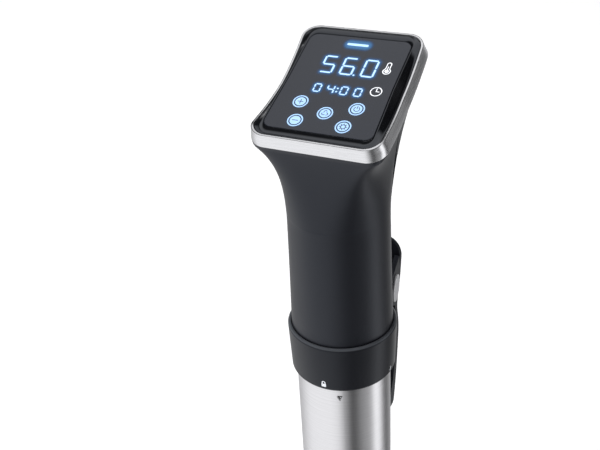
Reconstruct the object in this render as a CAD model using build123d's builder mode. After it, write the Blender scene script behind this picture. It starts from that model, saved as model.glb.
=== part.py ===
from build123d import *
import os
from math import cos, radians, sin

# Sous vide circulator: a stainless tube that hangs in the water with a heater and a
# pump inside it, a grip above it with the motor and the electronics, a tilted touch
# display on top, and a sprung clamp at the back for the wall of a pot.
#
# Millimetres. +Z is up, the display faces -Y, the clamp is at +Y. The origin is on the
# tube's axis at the flat underside of the base cap.

# ---- driving dimensions -------------------------------------------------------------
fit = 0.1            # gap between neighbours that don't move
run = 0.06           # radial gap of a shaft in its bearing
gap = 0.3            # gap between neighbours that move

tube_radius = 30.0
tube_wall = 1.0
tube_bottom = 20.0
tube_top = 205.0
arrow_azimuth = 18.3      # degrees from the front, where the tube's arrow stands at rest
arrow_height = 182.5

collar_bottom = 190.0
collar_top = 223.5
collar_radius = 34.2
collar_foot_radius = 33.0
socket_floor = 216.5      # where the grip stands in the collar
socket_radius = 32.35
ledge_bottom = 213.0

wall = 2.4                # grip's wall
seam_y = 13.0             # plane that parts the front shell from the rear cover
neck_radius = 30.4        # grip's slimmest radius
neck_height = 300.0
flare_depth = 10.3        # the grip has its full head size this far below the panel
flare_steps = 12
head_half_width = 37.6
head_half_length = 45.6
head_corner = 9.0

tilt = 24.2               # display's tilt, front edge low
panel_centre = (0, 6.45, 375.65)
band_half_width = 36.9    # outer size at the band's upper edge
band_half_length = 43.8
band_slope = 0.2          # the band widens this much for each millimetre down
band_height = 9.0
band_dip = 4.1            # how far the band's edge dips along each side
band_thick = 1.7
band_corner = 10.0
band_bottom = 16.0        # depth to which the head's blocks are made before trimming
glass_half_width = 31.9
glass_half_length = 37.1
glass_thick = 2.0

shaft_radius = 2.5
shaft_bottom = 5.0
shaft_top = 285.0
bulkhead_bottom = 196.0
motor_bottom = 220.0
motor_top = 268.0
motor_radius = 18.0
coil_radius = 18.0
coil_wire = 3.2
coil_bottom = 62.0
coil_pitch = 11.0
coil_turns = 5
rod_circle = 24.0         # rods and probes stand on this radius
inner_leg = 10.3          # the heater's inner leg stands at this radius

pivot_y = 45.5
pivot_z = 216.0
lever_half_width = 18.0
cheek = 3.4
ear_outer = lever_half_width - cheek - gap
ear_thick = 3.5
pin_radius = 2.0
inlay_y = 46.9
inlay_z = 219.5

board_y = 8.4             # front face of the power board, which stands upright
board_low = 290.0
board_high = 344.0
rail_x = 23.6
screw_radius = 1.25
head_radius = 2.6
cover_screw_seat = 15.4
cover_screw_spots = [(side * rail_x, z) for side in (-1, 1) for z in (233, 285)]
board_screw_spots = [(side * 23.4, z) for side in (-1, 1) for z in (295, 339)]
frame_screw_spots = [(x * 18.4, y * 18.4) for x in (-1, 1) for y in (-1, 1)]
motor_screw_spots = [(-12, 0), (12, 0)]
bracket_screw_spots = [(0, 201.5), (0, 218.5)]

# ---- planes of the tilted display ---------------------------------------------------
up_panel = (0, cos(radians(tilt)), sin(radians(tilt)))
out_of_panel = (0, -sin(radians(tilt)), cos(radians(tilt)))
panel = Plane(origin=panel_centre, x_dir=(1, 0, 0), z_dir=out_of_panel)
panel_side = Plane(origin=panel_centre, x_dir=up_panel, z_dir=(1, 0, 0))


def save(builder, name):
    """Label a finished piece and write it to its own file."""
    builder.part.label = name
    export_step(builder.part, f"parts/{name}.step")


def rounded_loft(sections):
    """A solid through rounded rectangles, each given as plane, half sizes and corner."""
    with BuildPart() as body:
        for plane, half_width, half_length, corner in sections:
            with BuildSketch(plane):
                RectangleRounded(2 * half_width, 2 * half_length, corner)
        loft(ruled=True)
    return body.part


def band_block(inset, top, bottom):
    """The block inside the band's outer face, moved in by inset, between two depths."""
    sections = []
    for depth in (bottom, top):
        grow = band_slope * depth - inset
        sections.append((
            panel.offset(-depth), band_half_width + grow, band_half_length + grow,
            band_corner + grow / 2,
        ))
    return rounded_loft(sections)


def above_band(depth):
    """Everything above the band's edge line, which dips along the sides, at a depth."""
    half_dip = 0.82 * band_half_length
    with BuildPart() as tool:
        with BuildSketch(panel_side):
            with BuildLine():
                ThreePointArc((-half_dip, -depth), (0, -depth - band_dip), (half_dip, -depth))
                Polyline(
                    (half_dip, -depth), (80, -depth), (80, 60),
                    (-80, 60), (-80, -depth), (-half_dip, -depth),
                )
            make_face()
        extrude(amount=80, both=True)
    return tool.part


def grip_sections(inset):
    """Sections of the grip: round and slightly waisted up to the neck, then opening
    and tilting into the rounded rectangle that carries the band."""
    sections = []
    for height in (socket_floor + fit, 238, 260, 280, neck_height):
        radius = neck_radius + 1.5 * ((neck_height - height) / 84) ** 1.3
        plane = Plane(origin=(0, 0, height), x_dir=(1, 0, 0), z_dir=(0, 0, 1))
        sections.append((plane, radius, radius, radius - 0.1))
    head = panel.offset(-flare_depth).origin
    for step in range(1, flare_steps + 1):
        s = step / flare_steps
        lean = radians(tilt * s ** 0.4)
        plane = Plane(
            origin=(0, head.Y * s ** 1.8, neck_height + (head.Z - neck_height) * s),
            x_dir=(1, 0, 0), z_dir=(0, -sin(lean), cos(lean)),
        )
        half_width = neck_radius + (head_half_width - neck_radius) * s ** 3.35
        half_length = neck_radius + (head_half_length - neck_radius) * s ** 2.6
        corner = neck_radius - 0.1 + (head_corner + 0.1 - neck_radius) * s ** 1.15
        sections.append((plane, half_width, half_length, corner))
    sections.append((panel, head_half_width - 1.5, head_half_length - 1.5, head_corner - 1))
    return [
        (plane, half_width - inset, half_length - inset, corner - inset)
        for plane, half_width, half_length, corner in sections
    ]


def at_circle(radius, azimuth):
    """A point on a circle about the tube's axis, azimuth in degrees from the front."""
    return radius * sin(radians(azimuth)), -radius * cos(radians(azimuth))


os.makedirs("parts", exist_ok=True)

# ---- tube, bayonet ring and base cap ------------------------------------------------
with BuildPart() as tube:
    with BuildSketch(Plane.XY.offset(tube_bottom)):
        Circle(tube_radius)
        Circle(tube_radius - tube_wall, mode=Mode.SUBTRACT)
    extrude(amount=tube_top - tube_bottom)
    # A small triangular arrow is pressed into the wall, pointing up at the lock marks.
    arrow_plane = Plane(
        origin=(*at_circle(tube_radius + 1, arrow_azimuth), arrow_height),
        x_dir=(cos(radians(arrow_azimuth)), sin(radians(arrow_azimuth)), 0),
        z_dir=(sin(radians(arrow_azimuth)), -cos(radians(arrow_azimuth)), 0),
    )
    with BuildSketch(arrow_plane):
        Triangle(a=4.2, b=4.2, c=4.2, rotation=180)
    extrude(amount=-1.5, mode=Mode.SUBTRACT)
save(tube, "tube")

with BuildPart() as bayonet_ring:
    with BuildSketch(Plane.XY.offset(200.5)):
        with PolarLocations(30.0, 3, start_angle=30):
            Rectangle(6.0, 12)
        Circle(31.9, mode=Mode.INTERSECT)
        Circle(30.6)
        Circle(tube_radius + run, mode=Mode.SUBTRACT)
    extrude(amount=4.5)
save(bayonet_ring, "bayonet_ring")

with BuildPart() as base_cap:
    with BuildSketch():
        Circle(tube_radius)
    extrude(amount=tube_bottom)
    chamfer(base_cap.faces().sort_by(Axis.Z)[0].edges(), 1.2)
    with BuildSketch(Plane.XY.offset(tube_bottom)):
        Circle(tube_radius - tube_wall - fit)
    extrude(amount=9)
    with BuildSketch(Plane.XY.offset(4)):
        Circle(27.0)
    extrude(amount=30, mode=Mode.SUBTRACT)
    # water leaves through eight windows in the side
    with BuildSketch(Plane.XY.offset(6)):
        with PolarLocations(28, 8):
            Rectangle(12, 14)
    extrude(amount=11, mode=Mode.SUBTRACT)
    # and enters through eight slots in the floor
    with BuildSketch():
        with PolarLocations(17.5, 8):
            SlotOverall(14, 5.4)
    extrude(amount=4, mode=Mode.SUBTRACT)
save(base_cap, "base_cap")

# ---- pump: shaft, impeller, fan and rotor -------------------------------------------
with BuildPart() as drive_shaft:
    with BuildSketch(Plane.XY.offset(shaft_bottom)):
        Circle(shaft_radius)
    extrude(amount=shaft_top - shaft_bottom)
    chamfer(drive_shaft.edges().filter_by(GeomType.CIRCLE), 0.4)
save(drive_shaft, "drive_shaft")

with BuildPart() as impeller:
    with BuildSketch(Plane.XY.offset(9)):
        Circle(5)
    extrude(amount=10)
    with BuildSketch(Plane.XY.offset(17.4)):
        Circle(20)
    extrude(amount=1.6)
    with BuildSketch(Plane.XY.offset(9)):
        with PolarLocations(11.8, 6):
            Rectangle(15.6, 1.8, rotation=25)
    extrude(amount=9)
    with BuildSketch(Plane.XY.offset(9)):
        Circle(shaft_radius)
    extrude(amount=10, mode=Mode.SUBTRACT)
save(impeller, "impeller")

with BuildPart() as impeller_nut:
    with BuildSketch(Plane.XY.offset(5.6)):
        RegularPolygon(4.4, 6)
        Circle(shaft_radius, mode=Mode.SUBTRACT)
    extrude(amount=3.3)
save(impeller_nut, "impeller_nut")

with BuildPart() as cooling_fan:
    with BuildSketch(Plane.XY.offset(274)):
        Circle(7)
    extrude(amount=9)
    with BuildSketch(Plane.XY.offset(274)):
        with PolarLocations(14, 9):
            Rectangle(15.5, 1.6, rotation=20)
    extrude(amount=8)
    with BuildSketch(Plane.XY.offset(273.2)):
        Circle(21.8)
    extrude(amount=1.2)
    with BuildSketch(Plane.XY.offset(273)):
        Circle(shaft_radius)
    extrude(amount=11, mode=Mode.SUBTRACT)
save(cooling_fan, "cooling_fan")

with BuildPart() as motor_rotor:
    with BuildSketch(Plane.XY.offset(228)):
        Circle(13.8)
        with PolarLocations(12.6, 8):
            Rectangle(4, 1.6, mode=Mode.SUBTRACT)
    extrude(amount=26)
    with BuildSketch(Plane.XY.offset(254)):
        Circle(6)
    extrude(amount=7)
    with BuildSketch(Plane.XY.offset(228)):
        Circle(shaft_radius)
    extrude(amount=33, mode=Mode.SUBTRACT)
save(motor_rotor, "motor_rotor")

# ---- motor --------------------------------------------------------------------------
with BuildPart() as motor_can:
    with BuildSketch(Plane.XY.offset(motor_bottom)):
        Circle(motor_radius)
    extrude(amount=motor_top - motor_bottom)
    with BuildSketch(Plane.XY.offset(motor_bottom + 1.5)):
        Circle(motor_radius - 1.5)
    extrude(amount=motor_top - motor_bottom, mode=Mode.SUBTRACT)
    with BuildSketch(Plane.XY.offset(motor_bottom)):
        Circle(6)
        with Locations(*motor_screw_spots):
            Circle(screw_radius + fit / 2)
    extrude(amount=2, mode=Mode.SUBTRACT)
save(motor_can, "motor_can")

with BuildPart() as motor_end_plate:
    with BuildSketch(Plane.XY.offset(motor_top)):
        Circle(motor_radius)
    extrude(amount=2)
    with BuildSketch(Plane.XY.offset(motor_top)):
        Circle(6)
    extrude(amount=2, mode=Mode.SUBTRACT)
    # cooling air is drawn through these windows
    with BuildSketch(Plane.XY.offset(motor_top)):
        with PolarLocations(12, 4):
            SlotOverall(7, 3.5, rotation=90)
    extrude(amount=2, mode=Mode.SUBTRACT)
save(motor_end_plate, "motor_end_plate")

with BuildPart() as motor_magnets:
    with BuildSketch(Plane.XY.offset(227)):
        Circle(motor_radius - 1.5 - fit)
        Circle(14.6, mode=Mode.SUBTRACT)
        Rectangle(9, 40, mode=Mode.SUBTRACT)
    extrude(amount=28)
save(motor_magnets, "motor_magnets")

with BuildPart() as motor_bearings:
    for height in (motor_bottom - 1, motor_top - 2):
        with BuildSketch(Plane.XY.offset(height)):
            Circle(6 - fit)
            Circle(shaft_radius + run, mode=Mode.SUBTRACT)
        extrude(amount=4.2)
save(motor_bearings, "motor_bearings")

with BuildPart() as motor_mount:
    with BuildSketch(Plane.XY.offset(socket_floor + fit)):
        Circle(29.0)
        Circle(8, mode=Mode.SUBTRACT)
        with Locations(*motor_screw_spots, *frame_screw_spots):
            Circle(screw_radius + fit / 2, mode=Mode.SUBTRACT)
    extrude(amount=motor_bottom - socket_floor - fit)
save(motor_mount, "motor_mount")

# ---- bulkhead that keeps the water out of the grip ----------------------------------
leg_spots = [(coil_radius, 0), (inner_leg, 0)]
rod_spots = [(rod_circle, 0), (-rod_circle, 0)]
probe_spot = at_circle(rod_circle, 0)
electrode_spots = [at_circle(rod_circle, 160), at_circle(rod_circle, 200)]

with BuildPart() as bulkhead:
    with BuildSketch(Plane.XY.offset(bulkhead_bottom)):
        Circle(tube_radius - tube_wall - gap)
    extrude(amount=ledge_bottom - bulkhead_bottom - fit)
    with BuildSketch(Plane.XY.offset(206)):
        Circle(30.7)
    extrude(amount=ledge_bottom - 206 - fit)
    # groove for the ring seal
    with BuildSketch(Plane.XY.offset(198.5)):
        Circle(31)
        Circle(26.5, mode=Mode.SUBTRACT)
    extrude(amount=2.6, mode=Mode.SUBTRACT)
    # holes for the shaft seal, the heater's legs, the rods and the probes
    with BuildSketch(Plane.XY.offset(bulkhead_bottom)):
        Circle(6)
        with Locations(*leg_spots):
            Circle(coil_wire + 0.8)
        with Locations(*rod_spots, probe_spot):
            Circle(2 + fit)
        with Locations(*electrode_spots):
            Circle(1.5 + fit)
    extrude(amount=20, mode=Mode.SUBTRACT)
    with BuildSketch(Plane.XY.offset(203.8)):
        with Locations(*frame_screw_spots):
            Circle(screw_radius + fit / 2)
    extrude(amount=20, mode=Mode.SUBTRACT)
save(bulkhead, "bulkhead")

with BuildPart() as bulkhead_seal:
    with BuildSketch(Plane.XZ):
        with Locations((tube_radius - tube_wall - run - 1.1, 199.8)):
            Circle(1.1)
    revolve(axis=Axis.Z)
save(bulkhead_seal, "bulkhead_seal")

with BuildPart() as shaft_seal:
    with BuildSketch(Plane.XY.offset(197)):
        Circle(6 - fit)
        Circle(shaft_radius + run, mode=Mode.SUBTRACT)
    extrude(amount=8)
save(shaft_seal, "shaft_seal")

# ---- heater, probes and the lower bearing -------------------------------------------
coil_height = coil_pitch * coil_turns
with BuildPart() as heater_coil:
    with BuildLine() as coil:
        Helix(pitch=coil_pitch, height=coil_height, radius=coil_radius, center=(0, 0, coil_bottom))
    with BuildSketch(Plane(origin=coil.line @ 0, z_dir=coil.line % 0)):
        Circle(coil_wire)
    sweep(is_frenet=True)
    # legs, with a ball at each tight bend
    with Locations(
        (coil_radius, 0, coil_bottom), (inner_leg, 0, coil_bottom),
        (coil_radius, 0, coil_bottom + coil_height),
    ):
        Sphere(coil_wire)
    with BuildSketch(Plane.YZ.offset(inner_leg)):
        with Locations((0, coil_bottom)):
            Circle(coil_wire)
    extrude(amount=coil_radius - inner_leg)
    with BuildSketch(Plane.XY.offset(coil_bottom)):
        with Locations((inner_leg, 0)):
            Circle(coil_wire)
    extrude(amount=210 - coil_bottom)
    with BuildSketch(Plane.XY.offset(coil_bottom + coil_height)):
        with Locations((coil_radius, 0)):
            Circle(coil_wire)
    extrude(amount=210 - coil_bottom - coil_height)
save(heater_coil, "heater_coil")

with BuildPart() as heater_glands:
    with BuildSketch(Plane.XY.offset(197)):
        with Locations(*leg_spots):
            Circle(coil_wire + 0.8 - fit)
            Circle(coil_wire + fit / 2, mode=Mode.SUBTRACT)
    extrude(amount=14)
save(heater_glands, "heater_glands")

with BuildPart() as temperature_probe:
    with Locations((*probe_spot, 44)):
        Sphere(2)
    with BuildSketch(Plane.XY.offset(44)):
        with Locations(probe_spot):
            Circle(2)
    extrude(amount=208 - 44)
save(temperature_probe, "temperature_probe")

with BuildPart() as level_electrodes:
    for spot, low in zip(electrode_spots, (60, 95)):
        with BuildSketch(Plane.XY.offset(low)):
            with Locations(spot):
                Circle(1.5)
        extrude(amount=208 - low)
save(level_electrodes, "level_electrodes")

with BuildPart() as support_rods:
    with BuildSketch(Plane.XY.offset(33)):
        with Locations(*rod_spots):
            Circle(2)
    extrude(amount=208 - 33)
save(support_rods, "support_rods")

with BuildPart() as lower_bearing_plate:
    with BuildSketch(Plane.XY.offset(34)):
        Rectangle(50, 12)
        Circle(9)
        with Locations((0, -12)):
            Rectangle(10, 24)
        Circle(26.2, mode=Mode.INTERSECT)
        Circle(4.5, mode=Mode.SUBTRACT)
        with Locations(*rod_spots):
            Circle(2 + fit / 2, mode=Mode.SUBTRACT)
    extrude(amount=4)
save(lower_bearing_plate, "lower_bearing_plate")

with BuildPart() as lower_bush:
    with BuildSketch(Plane.XY.offset(32)):
        Circle(4.5 - fit)
        Circle(shaft_radius + run, mode=Mode.SUBTRACT)
    extrude(amount=9)
save(lower_bush, "lower_bush")

# ---- collar -------------------------------------------------------------------------
with BuildPart() as collar:
    with BuildSketch(Plane.XZ):
        with BuildLine():
            Polyline(
                (30.4, collar_bottom), (collar_foot_radius - 1.2, collar_bottom),
                (collar_foot_radius, collar_bottom + 1.6),
                (collar_radius, collar_top - 1.8), (collar_radius - 0.5, collar_top - 0.5),
                (socket_radius, collar_top), (socket_radius, socket_floor), (24, socket_floor),
                (24, ledge_bottom), (30.9, ledge_bottom), (30.9, 205.8), (32.3, 205.8),
                (32.3, 199.7), (30.9, 199.7), (30.9, 193), (30.4, 193), (30.4, collar_bottom),
            )
        make_face()
    revolve(axis=Axis.Z)
    with BuildSketch(Plane.XY.offset(ledge_bottom)):
        with Locations(*frame_screw_spots):
            Circle(screw_radius + fit / 2)
    extrude(amount=socket_floor - ledge_bottom, mode=Mode.SUBTRACT)
    with BuildSketch(Plane.XZ.offset(-32)):
        with Locations(*bracket_screw_spots):
            Circle(screw_radius + fit / 2)
    extrude(amount=-8, mode=Mode.SUBTRACT)
save(collar, "collar")

# ---- grip: front shell and rear cover -----------------------------------------------
grip_outside = rounded_loft(grip_sections(0))
grip_inside = rounded_loft(grip_sections(wall))
over_grip = above_band(band_height + fit)
gland_z = 322.0

with BuildPart() as front_shell:
    add(grip_outside)
    add(grip_inside, mode=Mode.SUBTRACT)
    add(over_grip, mode=Mode.SUBTRACT)
    split(bisect_by=Plane.XZ.offset(fit - seam_y), keep=Keep.TOP)
save(front_shell, "front_shell")

with BuildPart() as rear_cover:
    add(grip_outside)
    add(grip_inside, mode=Mode.SUBTRACT)
    add(over_grip, mode=Mode.SUBTRACT)
    split(bisect_by=Plane.XZ.offset(-seam_y), keep=Keep.BOTTOM)
    # boss, pocket and hole for the cord's gland
    with BuildSketch(Plane.XZ.offset(-25)):
        with Locations((0, gland_z)):
            Circle(10.5)
    extrude(amount=-6)
    with BuildSketch(Plane.XZ.offset(-30)):
        with Locations((0, gland_z)):
            Circle(8.5 + fit)
    extrude(amount=-30, mode=Mode.SUBTRACT)
    with BuildSketch(Plane.XZ.offset(-20)):
        with Locations((0, gland_z)):
            Circle(6 + fit)
    extrude(amount=-30, mode=Mode.SUBTRACT)
    # bosses and pockets for the screws that hold the cover to the rails
    with BuildSketch(Plane.XZ.offset(-seam_y)):
        with Locations(*cover_screw_spots):
            Circle(head_radius + 1.2)
    extrude(amount=-cover_screw_seat + seam_y)
    add(grip_outside, mode=Mode.INTERSECT)
    with BuildSketch(Plane.XZ.offset(-cover_screw_seat)):
        with Locations(*cover_screw_spots):
            Circle(head_radius + fit)
    extrude(amount=-20, mode=Mode.SUBTRACT)
    with BuildSketch(Plane.XZ.offset(-seam_y)):
        with Locations(*cover_screw_spots):
            Circle(screw_radius + fit)
    extrude(amount=-20, mode=Mode.SUBTRACT)
save(rear_cover, "rear_cover")

with BuildPart() as cord_gland:
    with BuildSketch(Plane.XZ.offset(-22)):
        with Locations((0, gland_z)):
            Circle(6)
    extrude(amount=-22)
    with BuildSketch(Plane.XZ.offset(-30 - fit)):
        with Locations((0, gland_z)):
            Circle(8.5)
    extrude(amount=-4)
    chamfer(cord_gland.faces().sort_by(Axis.Y)[-1].edges(), 1.5)
    with BuildSketch(Plane.XZ.offset(-20)):
        with Locations((0, gland_z)):
            Circle(3.5)
    extrude(amount=-30, mode=Mode.SUBTRACT)
save(cord_gland, "cord_gland")

# ---- display ------------------------------------------------------------------------
glass_v = -0.6       # the glass lies this far down the panel from the band's centre
board_depth = 10.0

with BuildPart() as display_band:
    add(band_block(0, 0, band_bottom))
    add(band_block(band_thick, 0, band_bottom), mode=Mode.SUBTRACT)
    add(above_band(0), mode=Mode.SUBTRACT)
    add(above_band(band_height), mode=Mode.INTERSECT)
save(display_band, "display_band")

with BuildPart() as display_surround:
    add(band_block(band_thick + fit, 0, band_bottom))
    add(above_band(band_height), mode=Mode.INTERSECT)
    with BuildSketch(panel):
        with Locations((0, glass_v)):
            RectangleRounded(2 * glass_half_width + 0.4, 2 * glass_half_length + 0.4, 5.7)
    extrude(amount=-glass_thick - fit, mode=Mode.SUBTRACT)
    with BuildSketch(panel):
        with Locations((0, glass_v)):
            RectangleRounded(58, 68, 4)
    extrude(amount=-band_bottom, mode=Mode.SUBTRACT)
    with BuildSketch(panel.offset(-4)):
        with Locations((0, glass_v)):
            RectangleRounded(64, 74, 5)
    extrude(amount=-band_bottom, mode=Mode.SUBTRACT)
save(display_surround, "display_surround")

with BuildPart() as display_glass:
    with BuildSketch(panel.offset(-fit)):
        with Locations((0, glass_v)):
            RectangleRounded(2 * glass_half_width, 2 * glass_half_length, 5.5)
    extrude(amount=-glass_thick)
save(display_glass, "display_glass")

with BuildPart() as display_board:
    with BuildSketch(panel.offset(-board_depth)):
        with Locations((0, glass_v)):
            RectangleRounded(63.4, 73.4, 4)
    extrude(amount=-1.6)
save(display_board, "display_board")


def display_module(x, v, width, length):
    """A light block that stands on the board and reaches up to the glass."""
    with BuildPart() as module:
        with BuildSketch(panel.offset(-board_depth)):
            with Locations((x, v + glass_v)):
                RectangleRounded(width, length, 1)
        extrude(amount=board_depth - glass_thick - 0.3)
    return module


key_spots = [(-16.25, -14.8), (16.25, -14.8), (-13.5, -28.4), (13.5, -28.4), (0, -20.6)]

status_light = display_module(0, 29.1, 19, 9)
save(status_light, "status_light")
temperature_digits = display_module(1, 13.3, 38, 17)
save(temperature_digits, "temperature_digits")
timer_digits = display_module(0.8, -4.3, 32, 9)
save(timer_digits, "timer_digits")

with BuildPart() as touch_springs:
    with BuildSketch(panel.offset(-board_depth)):
        with Locations((0, glass_v)):
            with Locations(*key_spots):
                Circle(3.6)
                Circle(2.8, mode=Mode.SUBTRACT)
    extrude(amount=board_depth - glass_thick - 0.2)
save(touch_springs, "touch_springs")

with BuildPart() as buzzer:
    with BuildSketch(panel.offset(-board_depth - 1.6)):
        with Locations((14, 20)):
            Circle(6)
            Circle(1, mode=Mode.SUBTRACT)
    extrude(amount=-6)
save(buzzer, "buzzer")

# ---- power electronics in the grip --------------------------------------------------
with BuildPart() as power_board:
    with BuildSketch(Plane.XZ.offset(-board_y)):
        with Locations((0, (board_low + board_high) / 2)):
            Rectangle(49, board_high - board_low)
        with Locations(*board_screw_spots):
            Circle(screw_radius + fit, mode=Mode.SUBTRACT)
    extrude(amount=-1.6)
save(power_board, "power_board")


def on_board(x, z, width, height, depth):
    """A block soldered to the front of the power board."""
    with BuildPart() as block:
        with BuildSketch(Plane.XZ.offset(-board_y)):
            with Locations((x, z)):
                Rectangle(width, height)
        extrude(amount=depth)
    return block


transformer = on_board(0, 304, 26, 22, 18)
save(transformer, "transformer")
relay = on_board(12, 327, 15, 18, 12)
save(relay, "relay")
terminal_block = on_board(-4, 339, 12, 7, 9)
save(terminal_block, "terminal_block")

with BuildPart() as capacitors:
    with BuildSketch(Plane.XZ.offset(-board_y)):
        with Locations((-14, 323), (-3, 323)):
            Circle(4.8)
    extrude(amount=15)
save(capacitors, "capacitors")

with BuildPart() as heat_sink:
    with BuildSketch(Plane.XY.offset(294)):
        with Locations((0, board_y + 3.6)):
            Rectangle(32, 2)
        with GridLocations(6, 0, 5, 1):
            with Locations((0, board_y + 7.6)):
                Rectangle(1.4, 8)
    extrude(amount=34)
save(heat_sink, "heat_sink")

with BuildPart() as chassis_rails:
    for side in (-1, 1):
        with BuildSketch(Plane.XY.offset(motor_bottom)):
            with Locations((side * rail_x, board_y - 4 - fit / 2)):
                Rectangle(3.2, 8 - fit)
        extrude(amount=board_high - motor_bottom)
    with BuildSketch(Plane.XZ.offset(-board_y)):
        with Locations(*cover_screw_spots, *board_screw_spots):
            Circle(screw_radius + fit / 2)
    extrude(amount=10, mode=Mode.SUBTRACT)
save(chassis_rails, "chassis_rails")

# ---- screws -------------------------------------------------------------------------
with BuildPart() as cover_screws:
    with BuildSketch(Plane.XZ.offset(-2)):
        with Locations(*cover_screw_spots):
            Circle(screw_radius)
    extrude(amount=-14)
    with BuildSketch(Plane.XZ.offset(-cover_screw_seat - fit)):
        with Locations(*cover_screw_spots):
            Circle(head_radius)
    extrude(amount=-1.8)
save(cover_screws, "cover_screws")

with BuildPart() as board_screws:
    with BuildSketch(Plane.XZ.offset(-2)):
        with Locations(*board_screw_spots):
            Circle(screw_radius)
    extrude(amount=-9)
    with BuildSketch(Plane.XZ.offset(-board_y - 1.6 - fit)):
        with Locations(*board_screw_spots):
            Circle(0.8 * head_radius)
    extrude(amount=-1.2)
save(board_screws, "board_screws")

with BuildPart() as frame_screws:
    with BuildSketch(Plane.XY.offset(204)):
        with Locations(*frame_screw_spots):
            Circle(screw_radius)
    extrude(amount=17)
    with BuildSketch(Plane.XY.offset(motor_bottom + fit)):
        with Locations(*frame_screw_spots):
            Circle(head_radius)
    extrude(amount=1.8)
save(frame_screws, "frame_screws")

with BuildPart() as motor_screws:
    with BuildSketch(Plane.XY.offset(socket_floor + fit)):
        with Locations(*motor_screw_spots):
            Circle(screw_radius)
    extrude(amount=5.5)
save(motor_screws, "motor_screws")

# ---- clamp --------------------------------------------------------------------------
with BuildPart() as clamp_bracket:
    with BuildSketch(Plane.XY.offset(197)):
        with Locations((0, 34)):
            Rectangle(2 * ear_outer, 10)
    extrude(amount=25)
    with BuildSketch(Plane.YZ.offset(-ear_outer)):
        with BuildLine():
            Polyline(
                (38, 203), (pivot_y, pivot_z - 4.6), (pivot_y, pivot_z + 4.6),
                (38, 221), (38, 203),
            )
        make_face()
        with Locations((pivot_y, pivot_z)):
            Circle(4.6)
    extrude(amount=2 * ear_outer)
    # the middle is open for the spring
    with BuildSketch(Plane.YZ.offset(-ear_outer + ear_thick)):
        with Locations((pivot_y + 1.0, pivot_z)):
            Rectangle(15, 40)
    extrude(amount=2 * (ear_outer - ear_thick), mode=Mode.SUBTRACT)
    with BuildSketch(Plane.XY.offset(190)):
        Circle(collar_radius + fit)
    extrude(amount=50, mode=Mode.SUBTRACT)
    with BuildSketch(Plane.YZ.offset(-ear_outer)):
        with Locations((pivot_y, pivot_z)):
            Circle(pin_radius + fit / 2)
    extrude(amount=2 * ear_outer, mode=Mode.SUBTRACT)
    with BuildSketch(Plane.XZ.offset(-30)):
        with Locations(*bracket_screw_spots):
            Circle(screw_radius + fit / 2)
    extrude(amount=-12, mode=Mode.SUBTRACT)
save(clamp_bracket, "clamp_bracket")

with BuildPart() as bracket_screws:
    with BuildSketch(Plane.XZ.offset(-collar_radius + 1.6)):
        with Locations(*bracket_screw_spots):
            Circle(screw_radius)
    extrude(amount=-8)
    with BuildSketch(Plane.XZ.offset(-39 - fit)):
        with Locations(*bracket_screw_spots):
            Circle(head_radius)
    extrude(amount=-1.5)
save(bracket_screws, "bracket_screws")

lever_top = 251.0
lever_bottom = 113.0
with BuildPart() as clamp_lever:
    # side outline of the one-piece lever and jaw
    with BuildSketch(Plane.YZ.offset(-lever_half_width)):
        with BuildLine():
            Spline(
                (60.0, lever_top), (58.4, 236), (55.0, 219), (50.9, 203.5), (53.2, 188),
                (52.4, 172), (49.4, 150), (45.5, 131), (40.0, lever_bottom),
            )
            Polyline((40.0, lever_bottom), (34.5, lever_bottom), (34.5, 131))
            Spline(
                (34.5, 131), (40.5, 140), (45.0, 154), (48.0, 172), (48.8, 188),
                (46.7, 203.5), (50.9, 219), (55.0, 236), (57.2, lever_top),
            )
            Line((57.2, lever_top), (60.0, lever_top))
        make_face()
    extrude(amount=2 * lever_half_width)
    # cheeks that reach forward to the pivot
    with BuildSketch(Plane.YZ.offset(-lever_half_width)):
        with BuildLine():
            Polyline(
                (48.5, 204), (pivot_y - 3.5, pivot_z - 7.5), (pivot_y - 6.4, pivot_z + 1),
                (pivot_y - 5.0, 230), (54.5, 240), (54, 222), (48.5, 204),
            )
        make_face()
    extrude(amount=2 * lever_half_width)
    with BuildSketch(Plane.YZ.offset(-lever_half_width + cheek)):
        with BuildLine():
            Polyline(
                (30, 200), (46.2, 203.5), (50.8, 216), (52.6, 228), (55.6, 242),
                (30, 242), (30, 200),
            )
        make_face()
    extrude(amount=2 * (lever_half_width - cheek), mode=Mode.SUBTRACT)
    # rounded ends, seen from behind
    with BuildSketch(Plane.XZ.offset(-20)):
        with Locations((0, (lever_top + lever_bottom) / 2)):
            RectangleRounded(2 * lever_half_width, lever_top - lever_bottom, 13)
    extrude(amount=-60, mode=Mode.INTERSECT)
    with BuildSketch(Plane.YZ.offset(-lever_half_width)):
        with Locations((pivot_y, pivot_z)):
            Circle(pin_radius + run)
    extrude(amount=2 * lever_half_width, mode=Mode.SUBTRACT)
save(clamp_lever, "clamp_lever")

with BuildPart() as lever_inlays:
    for side in (-1, 1):
        with BuildSketch(Plane.YZ.offset(side * (lever_half_width + fit / 2))):
            with Locations((inlay_y, inlay_z)):
                Ellipse(5.2, 9.8, rotation=-12)
        extrude(amount=side * 0.9)
save(lever_inlays, "lever_inlays")

with BuildPart() as pivot_pin:
    with BuildSketch(Plane.YZ.offset(-lever_half_width + 0.4)):
        with Locations((pivot_y, pivot_z)):
            Circle(pin_radius)
    extrude(amount=2 * lever_half_width - 0.8)
save(pivot_pin, "pivot_pin")

spring_wire = 0.55
spring_turns = 6
with BuildPart() as clamp_spring:
    with BuildLine() as turns:
        Helix(
            pitch=2.4, height=2.4 * spring_turns, radius=3.2,
            center=(-1.2 * spring_turns, pivot_y, pivot_z), direction=(1, 0, 0),
        )
    with BuildSketch(Plane(origin=turns.line @ 0, z_dir=turns.line % 0)):
        Circle(spring_wire)
    sweep(is_frenet=True)
save(clamp_spring, "clamp_spring")

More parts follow.
